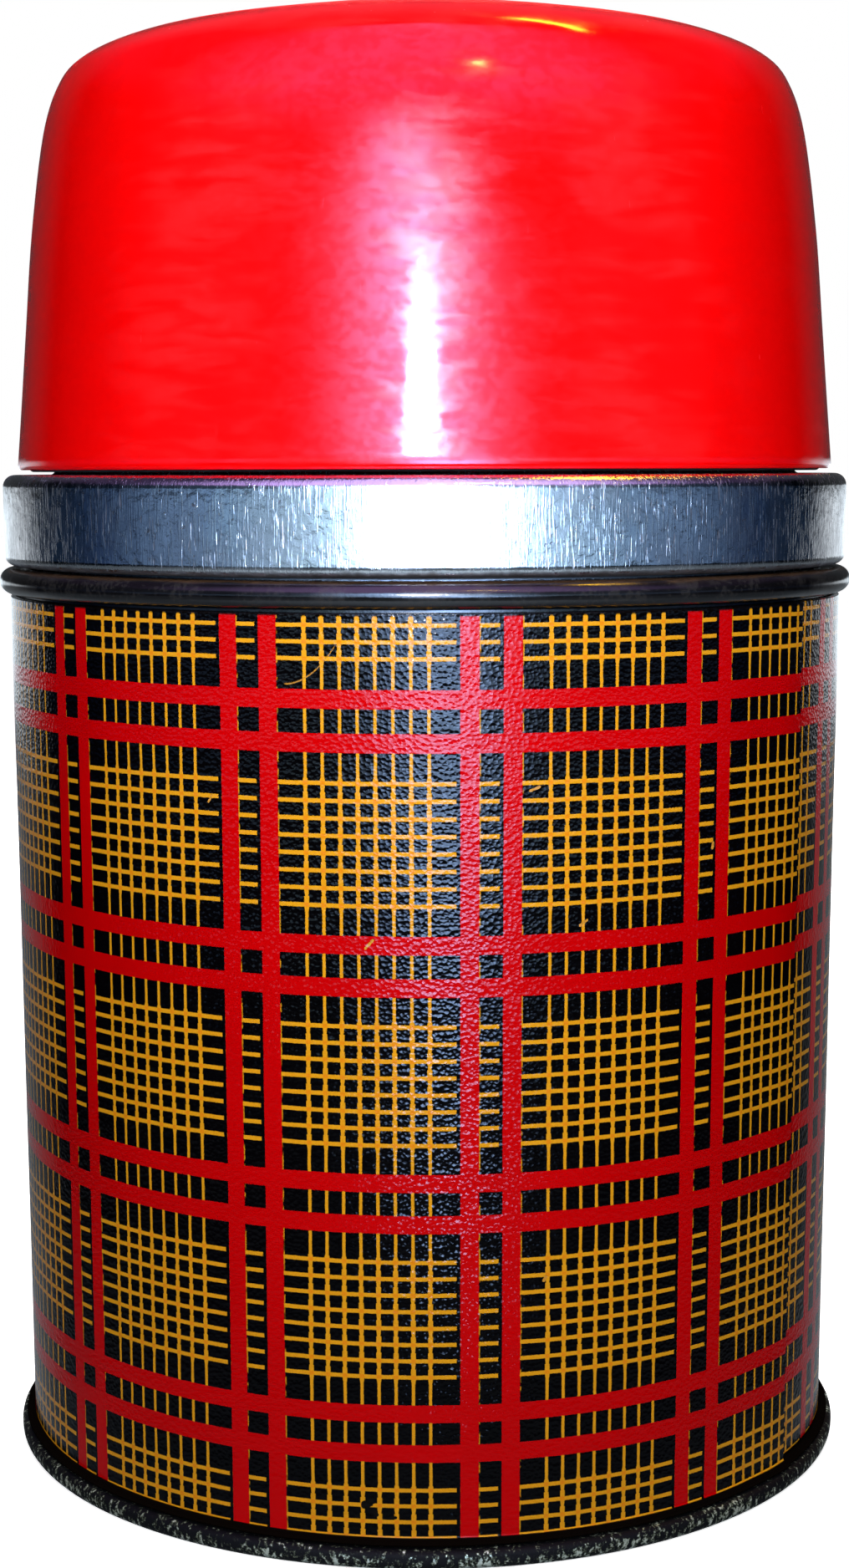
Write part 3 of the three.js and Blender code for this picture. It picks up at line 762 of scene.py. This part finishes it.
def jacket():
    """Rolled tinplate tube: a lapped side seam, a flared foot and a slightly uneven wall."""
    low, high, flare = extent("jacket")
    low -= FOOT_DROP
    body = flare - FOOT_FLARE
    metal = 0.6
    outline = [
        (flare - metal, low, 0.15),
        (flare, low, 0.2),
        (flare, low + 0.2, 0.15),
        (body, low + 0.5, 0.3),
        (body, high, 0.1),
        (body - metal, high, 0.1),
        (body - metal, low + 0.5, 0.3),
        (flare - metal, low + 0.2, 0.1),
    ]
    lap_edge = LAP_ANGLE - math.pi / 2
    lap_step = 0.25
    lap_flat, lap_rise = math.radians(2), math.radians(7)
    dented = (6, 94)  # the heights between which the wall is uneven
    even = np.arange(240) * math.tau / 240 + lap_edge
    near_edge = lap_edge + np.radians([0.12, 0.5])
    before_edge = lap_edge + math.tau - np.radians([0.5])
    columns = np.sort(np.concatenate([even, near_edge, before_edge]))

    def uneven(angles, radius, height):
        short_of_edge = (lap_edge - angles) % math.tau
        lap = lap_step * eased(np.clip(1 - (short_of_edge - lap_flat) / lap_rise, 0, 1))
        dents = 0.025 * np.sin(3 * angles + height / 17) * np.sin(5 * angles - height / 11)
        return radius + lap + dents * (dented[0] < height < dented[1])

    return turned("jacket", outline, columns, swell=uneven)


def case_ring():
    """Ring in the jacket's top: the round bead outside and the threaded sleeve inside."""
    low, high, bead = extent("case_ring")
    nut = 43.9
    sleeve = 45.1
    half = 1.35  # half the bead's height
    outline = [
        (nut, low, 0.3),
        (sleeve, low, 0.3),
        (sleeve, high - 2 * half),
        *arc((bead - half, high - half), half, -90, 90),
        (nut, high, 0.4),
    ]
    return joined(turned("case_ring", outline), *thread(nut, 42.8, CASE_BOLT_START - NUT_OFFSET))


def card_sleeve():
    """Corrugated card: flutes outside, a flat liner inside."""
    low, high, outer = extent("card_sleeve")
    flutes = 120
    depth = 0.75  # from a flute's middle to its crest
    inside = outer - 2.1
    outline = [(inside, low), (outer, low), (outer, high), (inside, high)]

    def fluted(angles, radius, height):
        if radius < outer - 1:
            return np.full(len(angles), radius)
        return radius - depth + depth * np.cos(flutes * angles)

    return turned("card_sleeve", outline, flutes * 8, 12.0, fluted)


def bottom_cushion():
    low, high, outer = extent("bottom_cushion")
    hole = 7.5
    outline = [(hole, low, 0.8), (outer, low, 1.2), (outer, high, 1.2), (hole, high, 0.8)]

    def lumpy(angles, radius, height):
        return radius + 0.12 * np.sin(9 * angles + height) + 0.08 * np.sin(23 * angles - 2 * height)

    return turned("bottom_cushion", outline, INNER_COLUMNS, 1.2, lumpy)


# The glass filler.


def outer_glass():
    low, high, outer = extent("filler_outer_glass")
    shoulder = high - 9
    neck = 34.4
    wall = 1.2
    tip = [(0, low), (1.5, low + 0.7), (2.4, low + 2.6), (4.6, low + 4.4), (9, low + 4.5)]
    outline = [
        *curve(tip),
        (30, low + 4.5, 6),
        (outer, low + 8.5, 10),
        (outer, shoulder, 6),
        (neck, high - 2.3, 1.5),
        (neck, high, 0.4),
        (neck - 1.4, high, 0.4),
        (neck - 1.4, high - 3, 1.5),
        (outer - wall, shoulder - 0.7, 6),
        (outer - wall, low + 9.4, 9),
        (29.8, low + 4.5 + wall, 6),
        (0, low + 4.5 + wall),
    ]
    return turned("filler_outer_glass", outline, INNER_COLUMNS)


def inner_glass():
    low, high, outer = extent("filler_inner_glass")
    mouth = 31
    lip = 34.6
    wall = 1.2
    shoulder = 98
    neck = shoulder + 5
    outline = [
        (0, low),
        (30, low, 8),
        (outer, low + 5.5, 9),
        (outer, shoulder, 6),
        (mouth + 1.3, neck, 2),
        (mouth + 1.3, high - 2.7, 0.5),
        (lip, high - 2.7, 0.9),
        (lip, high, 1.1),
        (mouth, high, 1.0),
        (mouth, neck - 0.8, 2),
        (outer - wall, shoulder - 0.8, 6),
        (outer - wall, low + 6.2, 8),
        (29.3, low + wall, 8),
        (0, low + wall),
    ]
    return turned("filler_inner_glass", outline)


def tip_guard():
    low, high, outer = extent("tip_guard")
    outline = [
        (0, low),
        (6, low, 0.8),
        (outer, low + 0.9, 0.8),
        (outer, high, 0.5),
        (5.2, high, 0.3),
        (3.3, high - 1.4, 1),
        (2.4, high - 3.9, 1),
        (0, low + 1.7),
    ]
    return turned("tip_guard", outline, 64)


def glass_spacer(node):
    """A round felt pad that stands between the glass walls."""
    low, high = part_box(node)
    centre = (low + high) / 2
    radius = (high.z - low.z) / MM / 2
    half = 0.95  # half its thickness
    outline = [(0, -half), (radius, -half, 0.5), (radius, half, 0.5), (0, half)]
    pad = turned(node, outline, 48, 0.8)
    outwards = Vector((centre.x, centre.y, 0)).to_track_quat("Z", "Y").to_matrix().to_4x4()
    outwards.translation = centre
    pad.data.transform(outwards)
    return pad


def neck_gasket():
    low, high, outer = extent("neck_gasket")
    inside = 34.9
    outline = [
        (inside, high - 5, 0.3),
        (38.6, low, 0.4),
        (outer, low + 0.6, 0.5),
        (outer, high, 0.4),
        (inside, high, 0.4),
    ]
    return turned("neck_gasket", outline, INNER_COLUMNS)


# The collar.


def collar():
    """Skirt with a rolled-in foot, rounded shoulder, threaded neck and threaded sleeve."""
    low, high, outer = extent("collar")
    shoulder = high - 13
    metal = 0.8
    under = shoulder - metal
    sleeve = 42.4
    neck = 40.8
    curl = 1.1  # the rolled-in foot's outer radius
    curl_centre = (outer - curl, COLLAR_LOW + curl)
    outline = [
        (sleeve - metal, low, 0.2),
        (sleeve, low, 0.3),
        (sleeve, under, 0.4),
        (outer - metal, under, 1.0),
        *arc(curl_centre, curl - metal, 0, -80, 8),
        *arc(curl_centre, curl, -80, 0),
        (outer, shoulder, 1.3),
        (neck, shoulder, 0.6),
        (neck, high, 0.4),
        (neck - metal, high, 0.3),
        (neck - metal, under, 0.4),
        (sleeve - metal, under, 0.3),
    ]
    ribs = thread(sleeve, 43.4, CASE_BOLT_START) + thread(neck, 41.8, CUP_BOLT_START)
    return joined(turned("collar", outline, longest=1.5), *ribs)


def thread_insert():
    """Plastic liner of the neck, with the thread that the stopper screws into."""
    low, high, outer = extent("thread_insert")
    nut = 37.9
    stop = 36.2  # the ledge under the thread
    outline = [
        (stop, low, 0.3),
        (outer, low, 0.4),
        (outer, high, 0.4),
        (nut, high, 0.6),
        (nut, low + 1.6, 0.4),
        (stop, low + 1.6, 0.4),
    ]
    ribs = thread(nut, 36.9, STOPPER_BOLT_START + NUT_OFFSET)
    return joined(turned("thread_insert", outline, longest=1.5), *ribs)


# The stopper.


def grip_bar(foot, top, length):
    """The bar across the stopper's well: a foot that spreads, and a rounded top and ends."""
    # Half widths at shares of the height.
    spread_foot = [(0.0, 4.6), (0.05, 4.05), (0.14, 3.75)]
    rounded_top = [(0.86, 3.55), (0.95, 3.3), (1.0, 2.7)]
    widest = spread_foot[0][1]
    end_points = 12
    sections = []
    for share, half in [*spread_foot, (0.5, 3.65), *rounded_top]:
        height = foot + (top - foot) * share
        end = length / 2 - (widest - half) * 0.4
        ring = []
        for side in (1, -1):
            for a in np.linspace(-math.pi / 2, math.pi / 2, end_points):
                along = end - half + half * math.cos(a)
                ring.append((side * along, side * half * math.sin(a), height))
        sections.append(ring)
    return swept("grip_bar", sections)


def stopper_body():
    """Screw stopper: a threaded skirt, a knurled flange and a finger well with a bar across."""
    low, high, flange = extent("stopper_body")
    seat = 122.5  # the flange's underside
    skirt = 36.4
    well_floor = 116.8
    knurls = 96
    knurl_depth = 0.16
    outline = [
        (0, well_floor - 1.8),
        (26.6, well_floor - 1.8, 1.5),
        (28, high - 2, 0.8),
        (skirt - 2, high - 2, 0.8),
        (skirt - 2, low, 0.3),
        (skirt, low, 0.5),
        (skirt, seat, 0.3),
        (flange, seat, 0.5),
        (flange, high, 1.4),
        (26.2, high, 1.2),
        (24.8, well_floor, 2.0),
        (0, well_floor),
    ]

    def knurled(angles, radius, height):
        grooves = knurl_depth * (0.5 + 0.5 * np.cos(knurls * angles))
        return radius - grooves * (radius > flange - 0.2)

    body = turned("stopper_body", outline, knurls * 6, 1.5, knurled)
    bar = grip_bar(well_floor - 0.3, high - 1, 51.2)
    return joined(body, bar, *thread(skirt, 37.4, STOPPER_BOLT_START))


def stopper_plug():
    low, high, flange = extent("stopper_plug")
    plug = 30.2
    wall = 1.5
    outline = [
        (0, low),
        (plug, low, 1.6),
        (plug, high - 2, 0.6),
        (flange, high - 2, 0.4),
        (flange, high, 0.4),
        (plug - wall, high, 0.4),
        (plug - wall, low + wall, 1.2),
        (0, low + wall),
    ]
    return turned("stopper_plug", outline, INNER_COLUMNS)


def stopper_core():
    low, high, outer = extent("stopper_core")
    outline = [(0, low), (outer, low, 1.2), (outer, high, 2), (0, high)]
    return turned("stopper_core", outline, INNER_COLUMNS)


def seal_ring(node, width, columns=INNER_COLUMNS):
    """A rubber ring of nearly round section."""
    low, high, outer = extent(node)
    edge = 0.45 * (high - low)
    outline = [
        (outer - width, low, edge),
        (outer, low, edge),
        (outer, high, edge),
        (outer - width, high, edge),
    ]
    return turned(node, outline, columns)


# The cup.


def cup_shell():
    """Tapering cup that stands on its mouth: rounded crown, foot ring and threaded mouth."""
    rim, foot, outer = extent("cup_shell")
    nut = 42.4
    wall = [
        (outer - 0.05, rim + 0.5),
        (outer - 0.64, rim + 7),
        (outer - 1.34, rim + 15),
        (outer - 2.25, rim + 25),
        (outer - 3.72, rim + 35),
        (outer - 5.4, rim + 40),
        (outer - 7.55, foot - 3.8),
        (outer - 11.8, foot - 2.0),
        (outer - 17.5, foot - 0.8),
    ]
    outline = [
        (0, foot - 3.2),
        (21, foot - 3.2, 6),
        (36.3, foot - 6, 9),
        (40.6, rim + 25, 20),
        (41.7, rim + 14, 10),
        (nut, rim + 12.7, 0.8),
        (nut, rim + 1.2, 0.2),
        (outer - 0.8, rim + 1.2, 0.2),
        (outer - 0.8, rim, 0.15),
        (outer - 0.3, rim, 0.2),
        *curve(wall),
        (23, foot, 0.6),
        (18, foot, 0.5),
        (17.4, foot - 0.8, 0.6),
        (0, foot - 0.8),
    ]
    ribs = thread(nut, 41.3, CUP_BOLT_START + NUT_OFFSET)
    return joined(turned("cup_shell", outline), *ribs)


# The studio.

CAMERA_PLACE = (0.0, -0.2952, 0.1099)
CAMERA_PITCH = 10.38  # degrees below level
CAMERA_ROLL = 0.0026  # radians
CAMERA_LENS = 59.8
CAMERA_SHIFT = 0.1029


def make_camera():
    lens = bpy.data.cameras.new("camera")
    lens.sensor_width = 36
    lens.lens = CAMERA_LENS
    lens.shift_y = CAMERA_SHIFT
    lens.clip_start = 0.01
    camera = bpy.data.objects.new("camera", lens)
    camera.location = CAMERA_PLACE
    camera.rotation_euler = (math.radians(90 - CAMERA_PITCH), CAMERA_ROLL, 0)
    bpy.context.scene.collection.objects.link(camera)
    bpy.context.scene.camera = camera


def make_floor():
    """A sheet of white paper that reaches past the view."""
    half = 4 / MM  # 4 metres
    corners = [(-half, -half, 0), (half, -half, 0), (half, half, 0), (-half, half, 0)]
    floor = new_object("floor", corners, [(0, 1, 2, 3)])
    material, sheet = surface("paper", Roughness=0.9, Specular_IOR_Level=0.1)
    sheet.shader["Emission Color"].default_value = (1, 1, 1, 1)
    fibre = sheet.noise(900, 4.0)
    paper = sheet.mix(fibre, (0.86, 0.86, 0.86, 1), (0.92, 0.92, 0.91, 1))
    sheet.feed(sheet.shader["Base Color"], paper)
    away = sheet.node("VectorMath", {0: sheet.place()}, "Value", operation="LENGTH")
    sheet.feed(sheet.shader["Emission Strength"], sheet.range(away, 0.05, 0.30, 0.8, 1.0))
    floor.data.materials.append(material)
    floor.visible_glossy = False
    floor.visible_diffuse = False


ROOM = [  # (bearing from the front as a share of a half turn, colour) of the room round the flask
    (0.14, (0.80, 1.15, 1.25, 1)),
    (0.23, (0.66, 0.98, 1.35, 1)),
    (0.28, (0.40, 0.66, 1.00, 1)),
    (0.32, (0.27, 0.45, 0.77, 1)),
    (0.37, (0.24, 0.38, 0.64, 1)),
    (0.46, (0.10, 0.17, 0.31, 1)),
    (0.52, (0.03, 0.06, 0.15, 1)),
    (0.58, (0.010, 0.022, 0.05, 1)),
    (0.71, (0.012, 0.025, 0.05, 1)),
    (0.77, (0.95, 1.00, 1.06, 1)),
    (0.92, (1.50, 1.70, 1.85, 1)),
]
WINDOW_COLOUR = (6.0, 9.0, 15.0, 1)
WINDOW_SPREAD = 17  # degrees round the horizon from the window's middle to where it has dimmed
WINDOW_LEVEL = 8  # degrees above the horizon where the window's middle is straight ahead
WINDOW_LEAN = 0.4  # degrees to one side for each degree down
TABLE_COLOUR = (0.80, 0.95, 1.10, 1)
CEILING_COLOUR = (0.95, 0.55, 1.35, 1)


def make_surroundings():
    """What the gloss reflects: a window in front, a dim room round it, a ceiling and a table."""
    world = bpy.data.worlds.new("studio")
    bpy.context.scene.world = world
    world.cycles_visibility.diffuse = False
    sheet = Sheet(world)
    way = sheet.node("TexCoord", {}, "Generated")
    axes = sheet.node("SeparateXYZ", {0: way}).socket.node.outputs
    x, y, z = (Value(sheet, axis) for axis in axes)
    bearing = sheet.math("ARCTAN2", x, y * -1.0) * (180 / math.pi)
    level = sheet.math("ARCSINE", z) * (180 / math.pi)
    side = sheet.math("ABSOLUTE", bearing)
    room = sheet.ramp(side * (1 / 180), *ROOM)
    near_horizon = sheet.range(level, -0.5, 3, 1.0, 0.12)
    near_horizon = near_horizon * sheet.range(level, -4.6, -3, 0.02, 1.0)
    on_table = sheet.range(level, -1.0, 0.6, 1.0, 0.03)
    on_table = on_table * sheet.range(level, -6, -3.6, 0.12, 1.0)
    behind = sheet.range(side, 110, 125)
    lit = behind * on_table + (1 - behind) * near_horizon
    underfoot = sheet.range(level, -32, -44) * sheet.range(level, -44, -80, 0.8, 0.4)
    underfoot = underfoot * sheet.range(side, 0, 100, 1.0, 0.1)
    underfoot = underfoot + sheet.range(level, -13, -24) * 0.13
    overhead = sheet.range(level, 20, 34) * sheet.range(side, 15, 95, 1.5, 0.05)

    off = bearing - (WINDOW_LEVEL - level) * WINDOW_LEAN
    spread = sheet.range(level, 12, 30, WINDOW_SPREAD, WINDOW_SPREAD / 2)
    off = off / (spread * sheet.range(level, -4, -1, 0.75, 1.0))
    window = sheet.math("EXPONENT", off * off * -1.0) * sheet.range(level, 19, 29, 1, 0)
    window = window * sheet.range(level, -11, -4.5) * sheet.range(level, -4, -1, 2.0, 1.0)
    light = sheet.sum(sheet.tinted(room, lit), sheet.tinted(WINDOW_COLOUR, window))
    light = sheet.sum(light, sheet.tinted(TABLE_COLOUR, underfoot))
    light = sheet.sum(light, sheet.tinted(CEILING_COLOUR, overhead))
    seen = sheet.node("LightPath", {}, "Is Camera Ray")
    background = sheet.tree.nodes["Background"]
    sheet.feed(background.inputs["Color"], sheet.mix(seen, light, (1, 1, 1, 1)))


def make_lamp(name, place, target, size, power, colour=(1, 1, 1), shines=False):
    """A soft lamp. One that shines is seen only in gloss; any other only lights surfaces."""
    data = bpy.data.lights.new(name, "AREA")
    data.shape = "ELLIPSE" if shines else "RECTANGLE"
    data.size, data.size_y = size
    data.energy = power
    data.color = colour
    lamp = bpy.data.objects.new(name, data)
    lamp.location = place
    lamp.rotation_euler = (Vector(target) - Vector(place)).to_track_quat("-Z", "Y").to_euler()
    lamp.visible_camera = False
    lamp.visible_glossy = shines
    lamp.visible_diffuse = not shines
    bpy.context.scene.collection.objects.link(lamp)


def towards(bearing, level, distance, start=(0, -0.04, 0.125)):
    """The point that far off, at a bearing from the front and a level above the horizon."""
    b, e = math.radians(bearing), math.radians(level)
    way = Vector((math.sin(b) * math.cos(e), -math.cos(b) * math.cos(e), math.sin(e)))
    return Vector(start) + way * distance


def make_lights():
    middle = (0, 0, 0.09)
    upper = (0, -0.04, 0.12)
    crown = (0, -0.03, 0.15)
    make_lamp("key", (0.0, -0.20, 0.185), (0, -0.04, 0.11), (0.06, 0.05), 0.50)
    fills = [
        ("left_fill", (-0.6, -0.3, 0.35), 1.2),
        ("right_fill", (0.6, -0.3, 0.35), 1.2),
        ("back_fill", (0, 0.6, 0.4), 5),
        ("top_fill", (0, 0, 0.8), 2.5),
    ]
    for name, place, power in fills:
        make_lamp(name, place, middle, (0.5, 0.5), power)
    flash = towards(-0.7, 8.6, 0.6)
    small = towards(19, 42, 1.2, crown)
    long = towards(125, 66, 1.5, crown)
    make_lamp("flash", flash, upper, (0.095, 0.11), 2.6, shines=True)
    make_lamp("small_lamp", small, crown, (0.05, 0.03), 1.0, (1, 0.7, 0.15), shines=True)
    make_lamp("long_lamp", long, crown, (0.9, 0.08), 8.0, (1, 0.55, 0.03), shines=True)


# Assembly.


def make_case():
    finished(base_pan(), base_steel(), "case", "base_steel", "base_pan")
    finished(jacket(), plaid_tinplate(), "case", "plaid_tinplate", "jacket")
    finished(case_ring(), dark_steel(), "case", "dark_steel", "case_ring")
    card = fibrous("corrugated_card", rgb(140, 104, 62), rgb(196, 158, 106), 900)
    finished(card_sleeve(), card, "case", "corrugated_card", "card_sleeve")
    finished(bottom_cushion(), FELT, "case", "felt", "bottom_cushion")


def make_filler():
    glass = silvered_glass()
    finished(outer_glass(), glass, "filler", "silvered_glass", "filler_outer_glass")
    finished(inner_glass(), glass, "filler", "silvered_glass", "filler_inner_glass")
    finished(tip_guard(), RUBBER, "filler", "black_rubber", "tip_guard")
    finished(neck_gasket(), RUBBER, "filler", "black_rubber", "neck_gasket")
    for i in (1, 2, 3):
        node = f"glass_spacer_{i}"
        finished(glass_spacer(node), FELT, "filler", "felt", node)


def make_collar():
    finished(collar(), polished_metal(), "collar", "polished_metal", "collar")
    finished(thread_insert(), IVORY, "collar", "ivory_plastic", "thread_insert")


def make_stopper():
    finished(stopper_body(), IVORY, "stopper", "ivory_plastic", "stopper_body")
    finished(stopper_plug(), IVORY, "stopper", "ivory_plastic", "stopper_plug")
    foam = fibrous("insulating_foam", rgb(222, 216, 198), rgb(246, 243, 234), 1600)
    finished(stopper_core(), foam, "stopper", "insulating_foam", "stopper_core")
    gasket = seal_ring("stopper_gasket", 4)
    finished(gasket, RUBBER, "stopper_ring", "black_rubber", "stopper_gasket")


def make_cup():
    finished(cup_shell(), red_plastic(), "cup", "red_plastic", "cup_shell")
    seal = seal_ring("cup_rim_seal", 1, COLUMNS)
    finished(seal, RUBBER, "cup_ring", "black_rubber", "cup_rim_seal")


RUBBER = black_rubber()
IVORY = ivory_plastic()
FELT = fibrous("felt", rgb(112, 106, 96), rgb(168, 162, 150), 1400)

make_camera()
make_floor()
make_surroundings()
make_lights()
make_case()
make_filler()
make_collar()
make_stopper()
make_cup()
bpy.context.scene.view_settings.view_transform = "Standard"
